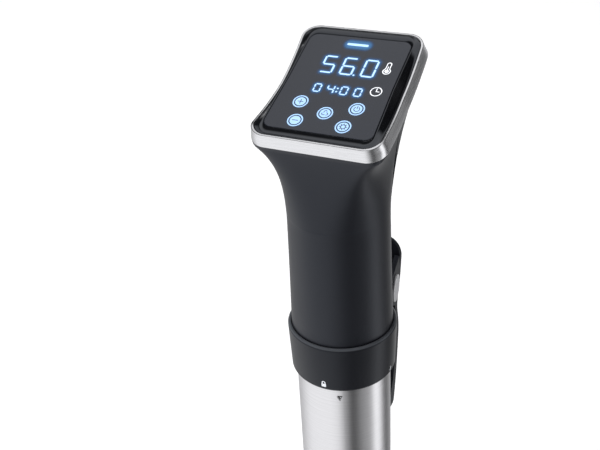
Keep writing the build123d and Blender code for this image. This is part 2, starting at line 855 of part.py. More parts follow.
with BuildPart() as jaw_pad:
    with BuildSketch(Plane.XZ.offset(-34.5 + fit)):
        with Locations((0, 123)):
            RectangleRounded(22, 15, 4)
    extrude(amount=3.3)
    fillet(jaw_pad.faces().sort_by(Axis.Y)[0].edges(), 1.0)
save(jaw_pad, "jaw_pad")
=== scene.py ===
# %% [markdown]
# # A sous vide circulator, finished for its portrait
# A circulator is a wand that hangs in a pot: a steel tube with a heater and a pump in it, a black
# grip, and a display that leans towards the cook. The engineering model already gives every
# piece its true size and place. This lesson loads it as a fixed frame, and then adds what an
# engineer leaves out: brushed metal, moulded plastic, lit numbers, soft edges and a small studio.

# %% Load the frame
from math import cos, pi, radians, sin

import bpy
import numpy as np
from mathutils import Matrix


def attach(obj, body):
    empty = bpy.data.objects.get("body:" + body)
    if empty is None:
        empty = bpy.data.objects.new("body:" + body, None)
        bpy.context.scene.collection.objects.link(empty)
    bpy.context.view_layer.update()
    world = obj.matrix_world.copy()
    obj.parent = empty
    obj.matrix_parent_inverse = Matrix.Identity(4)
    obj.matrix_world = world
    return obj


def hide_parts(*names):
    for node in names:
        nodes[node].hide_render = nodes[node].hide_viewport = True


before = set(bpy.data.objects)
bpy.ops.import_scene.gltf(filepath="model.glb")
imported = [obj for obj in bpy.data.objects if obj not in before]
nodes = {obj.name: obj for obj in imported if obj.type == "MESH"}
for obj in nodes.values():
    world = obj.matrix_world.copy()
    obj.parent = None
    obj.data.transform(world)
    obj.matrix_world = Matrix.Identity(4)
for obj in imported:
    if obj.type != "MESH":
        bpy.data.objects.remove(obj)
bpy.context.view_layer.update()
print("pieces in the frame:", len(nodes))

# %% [markdown]
# ## Shader sums written as Python
# A procedural material is a sum of patterns. Wiring each Math node by hand hides the sum, so this
# small class wraps one socket: `1 - scratches * 0.2` then adds its own Math nodes. Everything
# that isn't a sum comes from `node`, which sets the node up first and then joins its inputs.

# %% A socket that can be added and multiplied
class Signal:
    """One output of a node tree. Sums of signals and numbers add Math nodes."""

    def __init__(self, tree, socket=None):
        self.tree, self.socket = tree, socket

    def node(self, kind, settings=None, inputs=None, output=0):
        """A new node of a kind: settings first, then socket values or signals; gives an output."""
        made = self.tree.nodes.new("ShaderNode" + kind)
        for name, value in (settings or {}).items():
            setattr(made, name, value)
        for name, value in (inputs or {}).items():
            if isinstance(value, Signal):
                self.tree.links.new(value.socket, made.inputs[name])
            else:
                made.inputs[name].default_value = value
        return Signal(self.tree, made.outputs[output])

    def sum(self, operation, first, second):
        return self.node("Math", {"operation": operation}, {0: first, 1: second})

    def __add__(self, other):
        return self.sum("ADD", self, other)

    def __radd__(self, other):
        return self.sum("ADD", other, self)

    def __sub__(self, other):
        return self.sum("SUBTRACT", self, other)

    def __rsub__(self, other):
        return self.sum("SUBTRACT", other, self)

    def __mul__(self, other):
        return self.sum("MULTIPLY", self, other)

    def __rmul__(self, other):
        return self.sum("MULTIPLY", other, self)

    def __pow__(self, other):
        return self.sum("POWER", self, other)

    def noise(self, scale, detail=2.0, stretch=(1, 1, 1), turn=(0, 0, 0)):
        """Cloudy noise of scale lumps a metre, turned and then stretched by axis."""
        turned = self.node("Mapping", inputs={"Vector": self, "Rotation": turn})
        placed = self.node("Mapping", inputs={"Vector": turned, "Scale": stretch})
        return self.node("TexNoise", inputs={"Vector": placed, "Scale": scale, "Detail": detail})

    def band(self, low, high):
        """0 below low, 1 above high, and a smooth step between."""
        return self.node(
            "MapRange", {"interpolation_type": "SMOOTHSTEP"},
            {"Value": self, "From Min": low, "From Max": high},
        )

    def tint(self, dark, light):
        """A colour from dark to light as this signal goes from 0 to 1."""
        return self.node(
            "Mix", {"data_type": "RGBA"}, {"Factor": self, 6: (*dark, 1), 7: (*light, 1)}, 2
        )

    def relief(self, height, strength=1.0):
        """A normal that feels this signal as bumps of a height in metres."""
        return self.node("Bump", inputs={"Height": self, "Distance": height, "Strength": strength})


# %% [markdown]
# ## A blank finish
# Every finish below starts the same way: a Principled shader, with the numbers that are the same
# all over the piece set straight on it. What varies over the surface is a signal, joined to
# colour, roughness or normal. Patterns read Object coordinates, so they stay on the piece.

# %% Start a finish
def new_finish(name, build, **even):
    """A material. build(place) gives the varying sockets; even holds the numbers all over."""
    material = bpy.data.materials.new(name)
    material.use_nodes = True
    tree = material.node_tree
    shader = tree.nodes["Principled BSDF"]
    for socket, value in even.items():
        shader.inputs[socket.replace("_", " ")].default_value = value
    place = Signal(tree).node("TexCoord", output="Object")
    for socket, signal in build(place).items():
        tree.links.new(signal.socket, shader.inputs[socket.replace("_", " ")])
    material.diffuse_color = (0.5, 0.5, 0.5, 1)
    return material


# %% [markdown]
# ## Moulded plastic
# The grip is moulded in dark charcoal plastic with a fine spark-eroded grain: too small to see one
# by one, it spreads the highlight. Handling polishes it unevenly, so the roughness drifts in
# broad soft clouds as well.

# %% Satin plastics
def moulded(colour, rough, grain_scale=2600, grain=0.00003, highlight_above=None):
    """Plastic: colour and roughness drift with broad clouds, the normal with a fine grain. Above
    a height the colour is painted paler: a painted highlight along an upper edge."""
    def build(place):
        clouds = place.noise(28, 4)
        fine = place.noise(grain_scale, 2)
        lighter = tuple(min(1, c * 1.25 + 0.002) for c in colour)
        shade = (clouds * 0.6 + fine * 0.4).tint(colour, lighter)
        if highlight_above:
            height = place.node("SeparateXYZ", inputs={0: place}, output="Z")
            # Painted highlight: above that height the colour turns pale blue-grey, for the light on
            # the edge.
            painted_highlight = height.band(highlight_above, highlight_above + 0.0006) * (clouds * 0.5 + 0.75)
            shade = shade.node("Mix", {"data_type": "RGBA"},
                               {"Factor": painted_highlight, 6: shade, 7: (0.075, 0.08, 0.09, 1)}, 2)
        return {
            "Base_Color": shade,
            "Roughness": clouds * 0.10 + fine * 0.05 + (rough - 0.075),
            "Normal": fine.relief(grain, 0.5),
        }
    return build


finishes = {
    "grip_black": new_finish("grip_black", moulded((0.0098, 0.0103, 0.0140), 0.40),
                             Specular_IOR_Level=0.31, Specular_Tint=(0.80, 0.87, 1.0, 1)),
    # The collar's upper bevel gets a painted highlight: paler colour above 221.9 mm.
    "collar_black": new_finish(
        "collar_black", moulded((0.0095, 0.0100, 0.0130), 0.34, highlight_above=0.2219),
        Specular_IOR_Level=0.20, Specular_Tint=(0.80, 0.87, 1.0, 1)),
    "cap_black": new_finish("cap_black", moulded((0.022, 0.022, 0.024), 0.5)),
    "component": new_finish("component", moulded((0.05, 0.05, 0.055), 0.5)),
    "white_plastic": new_finish("white_plastic", moulded((0.72, 0.71, 0.67), 0.42)),
    "rubber": new_finish("rubber", moulded((0.018, 0.018, 0.018), 0.75, 1200, 0.00006)),
    "board_green": new_finish("board_green", moulded((0.012, 0.13, 0.045), 0.35)),
}
print("plastics:", sorted(finishes))

# %% [markdown]
# ## Brushed metal
# A brushed surface is thousands of fine parallel scratches. Noise that is squeezed across the
# scratches and stretched along them gives the same streaks. Along a tube the squeezed axis is
# the height, so each streak runs around it, and Anisotropic spreads the highlight up and down.

# %% Metals
def brushed(colour, rough, stretch, turn=(0, 0, 0), depth=0.000012):
    """Metal: streaks and longer stripes shade colour, roughness and normal along one way."""
    def build(place):
        streaks = place.noise(1, 3, stretch, turn)
        stripes = place.noise(0.22, 2, stretch, turn)
        dull = tuple(c * 0.82 for c in colour)
        return {
            "Base_Color": (streaks * 0.7 + stripes * 0.3).band(0.2, 0.7).tint(dull, colour),
            "Roughness": streaks * 0.16 + stripes * 0.08 + (rough - 0.12),
            "Normal": streaks.relief(depth, 0.6),
        }
    return build


def plain_metal(colour, rough):
    """Metal with faint clouds of handling and a very fine grain."""
    def build(place):
        clouds = place.noise(60, 4)
        fine = place.noise(3000, 2)
        dull = tuple(c * 0.86 for c in colour)
        return {
            "Base_Color": clouds.tint(dull, colour),
            "Roughness": clouds * 0.14 + (rough - 0.07),
            "Normal": fine.relief(0.000008, 0.4),
        }
    return build


lean = radians(24.2)   # the display leans this far towards the cook
finishes["steel"] = new_finish(
    "steel", brushed((0.72, 0.715, 0.73), 0.33, (55, 55, 5200)),
    Metallic=1.0, Anisotropic=0.9, Anisotropic_Rotation=0.25,
)
finishes["band_metal"] = new_finish(
    "band_metal", brushed((0.64, 0.64, 0.655), 0.25, (110, 110, 5200), (-lean, 0, 0), 0.000008),
    Metallic=1.0,
)
for name, colour, rough in (
    ("bright_steel", (0.68, 0.68, 0.69), 0.2),
    ("heater_steel", (0.5, 0.485, 0.46), 0.34), ("brass", (0.7, 0.5, 0.2), 0.3),
    ("aluminium", (0.72, 0.72, 0.73), 0.36), ("motor_steel", (0.4, 0.4, 0.41), 0.38),
):
    finishes[name] = new_finish(name, plain_metal(colour, rough), Metallic=1.0)
finishes["inlay_silver"] = new_finish(
    "inlay_silver", plain_metal((0.70, 0.70, 0.72), 0.42), Metallic=0.45)
print("metals added:", len(finishes))

# %% [markdown]
# ## Gloss, glass and light
# The frame around the display is polished black plastic under a clear lacquer. The glass is
# dark all through, so it is given as a glossy black with a faint smear left by fingertips. What
# is lit gives off its own light, and needs no more than a colour.

# %% Gloss and light
def polished(colour, rough):
    """Gloss: only the smears of fingertips vary it, in roughness and a trace of colour."""
    def build(place):
        smear = place.noise(70, 5).band(0.45, 0.8)
        paler = tuple(c + 0.004 for c in colour)
        return {"Base_Color": smear.tint(colour, paler), "Roughness": smear * 0.07 + rough}
    return build


def lit(colour):
    """Light: an even glow, a little dimmer here and there as through a diffuser."""
    def build(place):
        even = place.noise(400, 2)
        dim = tuple(c * 0.9 for c in colour)
        glow = even.tint(dim, colour)
        return {"Base_Color": glow, "Emission_Color": glow}
    return build


finishes["gloss_black"] = new_finish(
    "gloss_black", polished((0.0055, 0.006, 0.0075), 0.09), Coat_Weight=0.3, Coat_Roughness=0.04,
    Specular_Tint=(0.82, 0.88, 1.0, 1))
finishes["display_glass"] = new_finish(
    "display_glass", polished((0.012, 0.0135, 0.020), 0.12),
    Coat_Weight=0.15, Coat_Roughness=0.05, Specular_IOR_Level=0.45,
    Specular_Tint=(0.85, 0.9, 1.0, 1))
finishes["light_blue"] = new_finish(
    "light_blue", lit((0.25, 0.4, 1.0)), Emission_Strength=0.8, Roughness=0.4)
symbol_white = new_finish(
    "symbol_white", lit((0.42, 0.62, 0.92)), Emission_Strength=0.85, Roughness=0.5)
sign_white = new_finish(
    "sign_white", lit((0.78, 0.80, 0.84)), Emission_Strength=0.85, Roughness=0.5)
key_blue = new_finish(
    "key_blue", lit((0.34, 0.53, 0.80)), Emission_Strength=0.8, Roughness=0.5)
symbol_grey = new_finish("symbol_grey", polished((0.10, 0.13, 0.24), 0.4))

# %% [markdown]
# ## Each piece of the frame gets its finish
# The record names a material slot for every piece. The imported materials keep the slot's name,
# so one pass over all the pieces swaps each plain material for the finished one.

# %% Give the finishes out
for node in nodes.values():
    for place in node.material_slots:
        slot_name = place.material.name.split(".")[0]
        place.material = finishes[slot_name]
print("finished pieces:", len(nodes))

# %% [markdown]
# ## Surfaces from arrays
# New pieces are grids of points: rows along the piece, columns across it. The same few lines turn
# any such grid into a mesh, closing it round in either direction when the piece is closed.

# %% Grid of points to a mesh
def grid_object(name, points, finish, round_rows=False, round_columns=False, values=None):
    """An object from points[row, column, xyz] in metres; each cell of the grid is one face.
    points may be a stack of grids, which become one mesh. Cells wrap round where asked, and
    values, one number for each point, become the attribute glow."""
    stack = np.asarray(points, float)
    stack = stack[None] if stack.ndim == 3 else stack
    count, rows, columns, _ = stack.shape
    index = np.arange(count * rows * columns).reshape(count, rows, columns)
    index = np.concatenate([index, index[:, :1]], 1) if round_rows else index
    index = np.concatenate([index, index[:, :, :1]], 2) if round_columns else index
    faces = np.stack([index[:, :-1, :-1], index[:, :-1, 1:], index[:, 1:, 1:],
                      index[:, 1:, :-1]], -1).reshape(-1, 4)
    mesh = bpy.data.meshes.new(name)
    mesh.from_pydata(stack.reshape(-1, 3).tolist(), [], faces.tolist())
    mesh.polygons.foreach_set("use_smooth", np.full(len(faces), True))
    if values is not None:
        attribute = mesh.attributes.new("glow", "FLOAT", "POINT")
        attribute.data.foreach_set("value", np.asarray(values, np.float32).ravel())
    mesh.materials.append(finish)
    made = bpy.data.objects.new(name, mesh)
    bpy.context.scene.collection.objects.link(made)
    print(f"{name}: {len(faces)} faces")
    return made


def grid_piece(name, points, finish, slot, body="root", **grid):
    """A grid object that is part of the circulator: it rides on a body. The slot is not used."""
    piece = grid_object(name, points, finish, **grid)
    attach(piece, body)
    return piece


# %% [markdown]
# ## The plane of the display
# Everything lit lies on the glass, so the glass is measured once: its own up direction, its
# outward direction, and the middle of its top face. Drawings are then flat, in millimetres
# right and up from that middle, and a single sum lays them on the glass.

# %% Measure the glass
def vertices_of(name):
    """The corner points of a piece of the frame, one row each, in metres."""
    mesh = nodes[name].data
    found = np.empty(len(mesh.vertices) * 3, np.float32)
    mesh.vertices.foreach_get("co", found)
    return found.reshape(-1, 3).astype(float)


right = np.array([1.0, 0.0, 0.0])
up = np.array([0.0, cos(lean), sin(lean)])
out = np.array([0.0, -sin(lean), cos(lean)])
glass = vertices_of("display_glass")
glass_top = (glass @ out).max()
glass_middle = out * glass_top + up * ((glass @ up).max() + (glass @ up).min()) / 2
print("glass", np.ptp(glass @ right) * 1000, "by", np.ptp(glass @ up) * 1000, "mm")


def on_glass(flat, lift=0.03):
    """Points drawn in mm right and up from the glass's middle, laid lift mm over the glass."""
    flat = np.asarray(flat, float) / 1000
    return (glass_middle + out * lift / 1000
            + flat[..., :1] * right + flat[..., 1:2] * up)


# %% [markdown]
# ## Rings that are rounded rectangles
# The head of the grip, the metal band, the frame and the glass are all rounded rectangles of
# different sizes, stacked at different depths. Carrying one template round makes them match
# point for point: each column has a share of the straight sides and a direction on the corner.

# %% One template for every ring
def ring_template(side=25, turn=13):
    """Shares of the straight sides and corner directions, once round from the front right."""
    even, arc = np.linspace(-1, 1, side)[:-1], np.linspace(0, pi / 2, turn)[:-1]
    one_side, one_turn = np.ones(side - 1), np.ones(turn - 1)
    share_x = np.concatenate([one_side, one_turn, -even, -one_turn, -one_side, -one_turn,
                              even, one_turn])
    share_y = np.concatenate([even, one_turn, one_side, one_turn, -even, -one_turn,
                              -one_side, -one_turn])
    angle = np.concatenate([0 * even, arc, 0 * even + pi / 2, arc + pi / 2,
                            0 * even + pi, arc + pi, 0 * even + 3 * pi / 2, arc + 3 * pi / 2])
    return share_x, share_y, np.cos(angle), np.sin(angle)


share_x, share_y, turn_x, turn_y = ring_template()
panel_middle = np.array([0.0, 0.00645, 0.37565])   # metres; the sizes below are in mm
band_half_width, band_half_length, band_height = 36.9, 43.8, 9.0
front_spread = 0.05    # the head's front edge is wider by this share
front_taper = 0.13     # the band's front wall is lower by this share


def towards_front(v):
    """0 in the rear half of the head, growing evenly to 1 at its front edge."""
    return (-v / band_half_length).clip(0, 1)


def rings(half_width, half_length, corner, middle=0.0):
    """Rounded rectangles in mm, one row each: straight share times (half size - corner), plus
    corner times the direction. The front half spreads a little, as the head does."""
    w, l, c, m = (np.broadcast_to(np.asarray(v, float).reshape(-1, 1), (np.size(half_width), 1))
                  for v in (half_width, half_length, corner, middle))
    x = share_x * (w - c) + c * turn_x
    v = share_y * (l - c) + c * turn_y + m
    return x * (1 + front_spread * towards_front(v)), v


def edge_dip(v):
    """How far the rim dips, in mm: (1 - (v / 37.5) squared) to the power 1.1, times 4.9."""
    return 4.9 * (1 - (v / 37.5) ** 2).clip(0, 1) ** 1.1


def lower_dip(v):
    """How far the band's lower edge dips, in mm: 4.1 times 1 - (v / 36) squared."""
    return 4.1 * (1 - (v / 36) ** 2).clip(0, 1)


def on_panel(x, v, depth):
    """Points x mm right, v mm up the display and depth mm under the band's rim."""
    return (panel_middle + (x[..., None] * right + v[..., None] * up - depth[..., None] * out)
            / 1000)


print("columns in a ring:", len(share_x))

# %% [markdown]
# ## The metal band
# The band is pressed from aluminium: a flat brushed wall, a bright bevel along its rim, and an
# edge that dips along both sides. Its cross-section is a closed loop of inset and depth, and the
# loop is carried round the ring, sinking by the dip. Close rows keep the bevel's edges crisp.

# %% Carry the band's section round
band_section = np.array([
    (-1.35, 9.0), (-1.5, 8.9), (-1.5, 8.7), (-0.8, 4.6), (-0.14, 0.85), (-0.11, 0.5), (-0.02, 0.25),
    (0.12, 0.09), (0.26, 0.03), (0.4, 0.0), (0.98, 0.0), (1.12, 0.04), (1.22, 0.16),
    (1.25, 0.5), (1.25, 3.4), (1.1, 3.6), (0.6, 8.9), (0.4, 9.0),
])
inset, depth = band_section[:, 0], band_section[:, 1]
band_x, band_v = rings(band_half_width - inset,
                       band_half_length - inset * np.where(inset < 0, 1.2, 1.0),
                       10.0 - 0.6 * inset)
low_share = depth[:, None] / band_height
band_depth = (depth[:, None] * (1 - front_taper * towards_front(band_v) ** 2)
              + (1 - low_share) * edge_dip(band_v) + low_share * lower_dip(band_v))
band = grid_piece("band", on_panel(band_x, band_v, band_depth), finishes["band_metal"],
                  slot="band_metal", round_rows=True, round_columns=True)
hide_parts("display_band")

# %% [markdown]
# ## The glossy frame
# Round the glass lies a polished black frame. It is level at the front and back, but past the
# glass's sides it falls to the band's dipped edge, so it shows as a dark crescent. Each column
# of numbers below follows the frame from the glass out to the band.

# %% Lay the frame round the glass
glass_shift = 0.1   # the glass's middle lies this far up the display
fall = np.array([0, 0, 0, 0, 0, 0.03, 0.16, 0.34, 0.52, 0.7, 0.86, 0.97, 1, 1])
frame_width = np.array([30.98, 30.98, 31.1, 31.7, 31.8, 31.9, 32.3, 32.85, 33.4, 33.95, 34.45,
                        34.95, 35.5, 35.6])
frame_length = np.array([36.98, 36.98, 37.1, 40.9, 41.3, 41.5, 41.6, 41.65, 41.7, 41.75, 41.8,
                         41.95, 42.3, 42.4])
frame_drop = np.array([2.0, 0.3, 0.14, 0.13, 0.14, 0.18, 0.22, 0.26, 0.3, 0.33, 0.35, 0.36,
                       0.4, 2.6])
outwards = np.linspace(0, 1, len(fall))
frame_corner = 5.0 + 4.0 * outwards
frame_middle = glass_shift * (1 - outwards ** 0.5)
frame_x, frame_v = rings(frame_width, frame_length, frame_corner, frame_middle)
frame_depth = frame_drop[:, None] + fall[:, None] * edge_dip(frame_v)
surround = grid_piece("frame_around_glass", on_panel(frame_x, frame_v, frame_depth)[::-1],
                      finishes["gloss_black"], slot="gloss_black", round_columns=True)
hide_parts("display_surround")

# %% [markdown]
# ## The glass
# The glass is one plate with a fine bevel, which draws the thin line that parts it from the
# frame. It is drawn as rings that shrink to a point in the middle, so that its top is closed.

# %% Close the glass
glass_width = np.array([30.2, 30.88, 30.88, 30.8, 30.55, 30.45, 29.5, 24, 12, 0.01])
glass_depth = np.array([2.1, 2.05, 0.42, 0.24, 0.1, 0.095, 0.09, 0.09, 0.09, 0.09])
glass_length = glass_width + 6.1 * (glass_width / 30.9).clip(0, 1)
glass_x, glass_v = rings(glass_width, glass_length, np.minimum(5.0, glass_width * 0.4),
                         glass_shift)
glass_points = on_panel(glass_x, glass_v, glass_depth[:, None] + 0 * glass_v)
glass_plate = grid_piece("glass_plate", glass_points, finishes["display_glass"],
                         slot="display_glass", round_columns=True)
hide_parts("display_glass")

# %% [markdown]
# ## Rings of the grip
# The grip is round in the hand, and opens smoothly into the head. A superellipse does both: its
# power is 2 for a circle, and grows as the corners tighten. Each ring also leans a little more
# than the one under it, until the last one lies square to the display.

# %% Work out the grip's rings
neck_radius, neck_height = 30.4, 300.0
seam = 13.0                                     # the shell stops this far behind the axis
head = panel_middle * 1000 - out * 10.3         # the middle of the uppermost ring
reach_past = 60.0                               # mm along the display's axis for each share past 1


def grip_ring(s):
    """Size of the ring a share s of the way up: half width, half length, the superellipse's
    power, its lean, and how far back its middle has moved, in mm and radians."""
    t = s.clip(0, 1)
    width = neck_radius + 7.2 * t ** 3.35
    length = neck_radius + 15.0 * t ** 2.6
    corner = (30.3 - 21.3 * t ** 1.45) / ((width + length) / 2)
    power = -np.log(2) / np.log(1 - 0.2929 * corner.clip(0.05, 1))
    tilt = lean * np.minimum(t ** 0.4, t * 12 ** 0.6)
    length = length / np.cos(tilt) ** (1 - t)
    return width, length, power, tilt, head[1] * t ** 1.8


def grip_point(s, turn):
    """Point of the flare in mm, for a share s of the way up and an angle from the right.
    radius = (|cos / width|^n + |sin / length|^n)^(-1/n), then leant, raised and carried back."""
    t = s.clip(0, 1)
    width, length, power, tilt, back = grip_ring(s)
    radius = ((np.abs(np.cos(turn)) / width) ** power
              + (np.abs(np.sin(turn)) / length) ** power) ** (-1 / power)
    x, v = radius * np.cos(turn), radius * np.sin(turn)
    x = x * (1 + front_spread * towards_front(v) * t ** 4)
    z = neck_height + (head[2] - neck_height) * t + v * np.sin(tilt)
    past = (s - 1).clip(0, None) * reach_past
    return np.stack([x, back + v * np.cos(tilt) + past * out[1], z + past * out[2]], -1)


def seam_turn(s):
    """The angle at which a ring crosses the seam: v is the way from its middle to the seam, and
    x = width * (1 - (v / length)^n)^(1/n) lies beside it."""
    width, length, power, tilt, back = grip_ring(s)
    past = (s - 1).clip(0, None) * reach_past * out[1]
    v = (seam - back - past) / np.cos(tilt)
    return np.arctan2(v, width * (1 - np.abs(v / length) ** power) ** (1 / power))


# %% [markdown]
# ## The front shell
# The flare must end exactly under the band, whose lower edge dips. So its top is found by trial:
# each column is lengthened by what it lacks, a few times over. The stem below is plain rings
# that widen downwards. The last columns turn inwards, and close the shell on its seam.

# %% Grow the grip's front shell
across = np.concatenate([[0, 0.002], np.linspace(0.006, 0.994, 91), [0.998, 1]])[None, :]
top = np.ones_like(across)
for _ in range(8):
    start = seam_turn(top)
    here = grip_point(top, start + across * (-pi - 2 * start)) - panel_middle * 1000
    wanted = ((band_height + 0.05) * (1 - front_taper * towards_front(here @ up) ** 2)
              + lower_dip(here @ up))
    top = top + (-(here @ out) - wanted) / 75
s_grid = np.linspace(0, 1, 61)[:, None] ** 0.9 * top
start = seam_turn(s_grid)
flare = grip_point(s_grid, start + across * (-pi - 2 * start))
low_z = np.linspace(216.7, neck_height, 40)[:-1, None]
low_radius = neck_radius + 1.5 * ((neck_height - low_z) / 84) ** 1.3
low_start = np.arcsin(seam / low_radius)
low_turn = low_start + across * (-pi - 2 * low_start)
stem = np.stack([low_radius * np.cos(low_turn), low_radius * np.sin(low_turn),
                 low_z + 0 * low_turn], -1)
skin = np.concatenate([stem, flare])
inward = np.stack([-skin[..., 0], skin[:, :1, 1] * 0.5 - skin[..., 1], 0 * skin[..., 2]], -1)
inward /= np.linalg.norm(inward, axis=-1, keepdims=True)
fold = np.zeros(across.shape[1])     # mm that each column moves inwards
fold[[0, -1]], fold[[1, -2]] = 1.6, 0.28
skin = skin + inward * fold[None, :, None]
shell = grid_piece("front_grip", skin[:, ::-1] / 1000, finishes["grip_black"], slot="grip_black")
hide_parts("front_shell")

# %% [markdown]
# ## The collar
# The collar is turned, so one outline swept round the axis makes it. A bevel at its upper edge
# catches the ceiling's light as a thin ring, and its finish also paints the bevel paler, a
# painted highlight. Rows lie close together at each corner of the outline, which keeps the
# corners tight while the walls between them stay straight.

# %% Turn the collar
collar_outline = np.array([
    (30.5, 190.2), (31.6, 190.0), (32.0, 190.15), (32.75, 191.1), (33.0, 191.6), (33.02, 191.9),
    (34.17, 221.3), (34.18, 221.6), (34.12, 221.9), (33.42, 222.95), (33.3, 223.1),
    (32.4, 223.3), (32.15, 223.2), (32.1, 222.8), (32.1, 216.7), (24.2, 216.6), (24.2, 213.2),
    (30.8, 213.1), (30.8, 193.1), (30.5, 193.0),
])
around = np.linspace(0, 2 * pi, 129)[:-1]
turned_collar = np.stack([
    collar_outline[:, :1] * np.cos(around), collar_outline[:, :1] * np.sin(around),
    collar_outline[:, 1:] + 0 * around], -1) / 1000
collar_piece = grid_piece("turned_collar", turned_collar, finishes["collar_black"],
                          slot="grip_black", round_rows=True, round_columns=True)
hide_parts("collar")

# %% [markdown]
# ## Strokes
# Numbers and symbols are drawn with two kinds of stroke: a straight bar with round ends, and an
# arc of a ring. Both are a strip with two long edges. Working out all strokes of one kind as one
# stack keeps each drawing in a single mesh.

# %% Bars and arcs
def bars(lines, thick):
    """Round-ended strips. Each line is x1, y1, x2, y2; its half width follows a circle at each
    end and is even between, so edge = middle line plus and minus half width."""
    lines = np.asarray(lines, float)
    start, end = lines[:, None, :2], lines[:, None, 2:]
    along = end - start
    length = np.linalg.norm(along, axis=-1, keepdims=True)
    along = along / length
    across = np.stack([-along[..., 1], along[..., 0]], -1)
    half = thick / 2
    turn = np.linspace(0, pi, 14)[None, :, None]
    reach = np.where(turn <= pi / 2, 0, length) - half * np.cos(turn)
    middle = start + along * reach
    width = half * np.sin(turn).clip(1e-3)
    return np.stack([middle + across * width, middle - across * width], 2)


def arcs(rings):
    """Strips along circles. Each ring is x, y, radius, thickness, first and last angle in
    degrees; edge = centre plus radius plus and minus half the thickness along each angle."""
    rings = np.asarray(rings, float)[:, None, :]
    angle = np.radians(rings[..., 4] + (rings[..., 5] - rings[..., 4]) * np.linspace(0, 1, 49))
    ray = np.stack([np.cos(angle), np.sin(angle)], -1)
    inner = (rings[..., 2] - rings[..., 3] / 2)[..., None]
    outer = (rings[..., 2] + rings[..., 3] / 2)[..., None]
    centre = rings[..., :2]
    return np.stack([centre + ray * inner, centre + ray * outer], 2)


# %% [markdown]
# ## Numbers of seven bars
# A display number is seven bars, lit in the pattern that makes each figure. The bars stop short
# of the corners, which leaves the small gaps that make such numbers easy to recognise.

# %% Seven-bar figures
bar_ends = np.array([
    (-1, 1, 1, 1), (1, 1, 1, 0), (1, 0, 1, -1), (-1, -1, 1, -1),
    (-1, 0, -1, -1), (-1, 1, -1, 0), (-1, 0, 1, 0),
], float)
lit_bars = {"0": "012345", "4": "1256", "5": "02356", "6": "023456"}


def figures(text, places, bottom, top, width, gap):
    """Bars of each figure: the unit pattern times half the size, ends drawn in by a gap."""
    lines = []
    for figure, x in zip(text, places):
        unit = bar_ends[[int(i) for i in lit_bars[figure]]]
        scaled = unit * np.array([width / 2, (top - bottom) / 2] * 2)
        along = scaled[:, 2:] - scaled[:, :2]
        along /= np.linalg.norm(along, axis=1, keepdims=True)
        scaled[:, :2] += along * gap
        scaled[:, 2:] -= along * gap
        lines.append(scaled + np.array([x, (top + bottom) / 2] * 2))
    return np.concatenate(lines)


temperature = figures("560", (-11.2, 0.7, 13.2), 8.0, 20.4, 6.9, 0.8)
timer = figures("0400", (-11.0, -3.1, 4.8, 12.9), -7.0, -1.4, 3.7, 0.65)
dots = np.array([(5.8, 8.0, 5.81, 8.0), (0.7, -3.1, 0.71, -3.1), (0.7, -5.5, 0.71, -5.5)])
print("lit bars:", len(temperature) + len(timer))

# %% [markdown]
# ## Keys and signs
# Five touch keys lie under the numbers, each a ring round a disc with a small grey sign, and two
# plain signs stand beside the numbers: a thermometer and a clock. The signs are generic ones.

# %% Draw the keys and signs
keys = {"plus": (-16.5, -15.7), "power": (16.6, -16.0), "minus": (-14.2, -29.3),
        "setting": (13.7, -29.3), "fan": (0.4, -21.7)}
key_rings = [(x, y, 4.1, 0.75, 0, 360) for x, y in keys.values()]
key_discs = [(x, y, 1.525, 3.0, 0, 360) for x, y in keys.values()]
px, py = keys["plus"]
mx, my = keys["minus"]
ox, oy = keys["power"]
gx, gy = keys["setting"]
fx, fy = keys["fan"]
sign_bars = [(px - 1.5, py, px + 1.5, py), (px, py - 1.5, px, py + 1.5),
             (mx - 1.6, my, mx + 1.6, my), (ox, oy + 0.3, ox, oy + 2.1)]
sign_bars += [(gx + 1.5 * cos(a), gy + 1.5 * sin(a), gx + 2.1 * cos(a), gy + 2.1 * sin(a))
              for a in np.arange(8) * pi / 4]
sign_arcs = [(ox, oy, 1.6, 0.5, 120, 420), (gx, gy, 1.35, 0.55, 0, 360)]
sign_arcs += [(fx + 0.9 * cos(a), fy + 0.9 * sin(a), 0.9, 0.5, np.degrees(a) - 60,
               np.degrees(a) + 130) for a in np.radians((90, 210, 330))]
cx, cy = 22.6, -2.0
tx, ty = 23.2, 13.6
plain_arcs = [(cx, cy, 3.1, 0.55, 0, 360), (tx, ty, 2.1, 0.6, -235, 55),
              (tx, ty, 0.6, 1.2, 0, 360), (tx, ty + 5.4, 1.15, 0.6, 0, 180)]
plain_bars = [(cx, cy, cx, cy + 2.2), (cx, cy, cx + 1.6, cy),
              (tx - 1.15, ty + 1.7, tx - 1.15, ty + 5.4),
              (tx + 1.15, ty + 1.7, tx + 1.15, ty + 5.4),
              (tx, ty, tx, ty + 3.6)]

for name, strokes, lift, finish in (
    ("temperature_bars", bars(temperature, 1.1), 0.05, symbol_white),
    ("timer_bars", bars(timer, 0.8), 0.05, symbol_white),
    ("number_dots", bars(dots, 1.1), 0.05, symbol_white),
    ("status_bar", bars([(-5.6, 31.3, 5.6, 31.3)], 1.8), 0.06, symbol_white),
    ("key_rings", arcs(key_rings), 0.05, key_blue),
    ("key_discs", arcs(key_discs), 0.05, key_blue),
    ("key_sign_bars", bars(sign_bars, 0.5), 0.08, symbol_grey),
    ("key_sign_arcs", arcs(sign_arcs), 0.08, symbol_grey),
    ("side_sign_bars", bars(plain_bars, 0.5), 0.05, sign_white),
    ("side_sign_arcs", arcs(plain_arcs), 0.05, sign_white),
):
    grid_piece(name, on_glass(strokes, lift), finish, slot="light_blue")

# %% [markdown]
# ## The glow in the glass
# Light from each number spreads inside the glass and makes a blue halo. One sheet lies over the
# glass, and every point of it holds how near it is to something lit. The sheet is clear where
# that value is nought and blue where it is one.

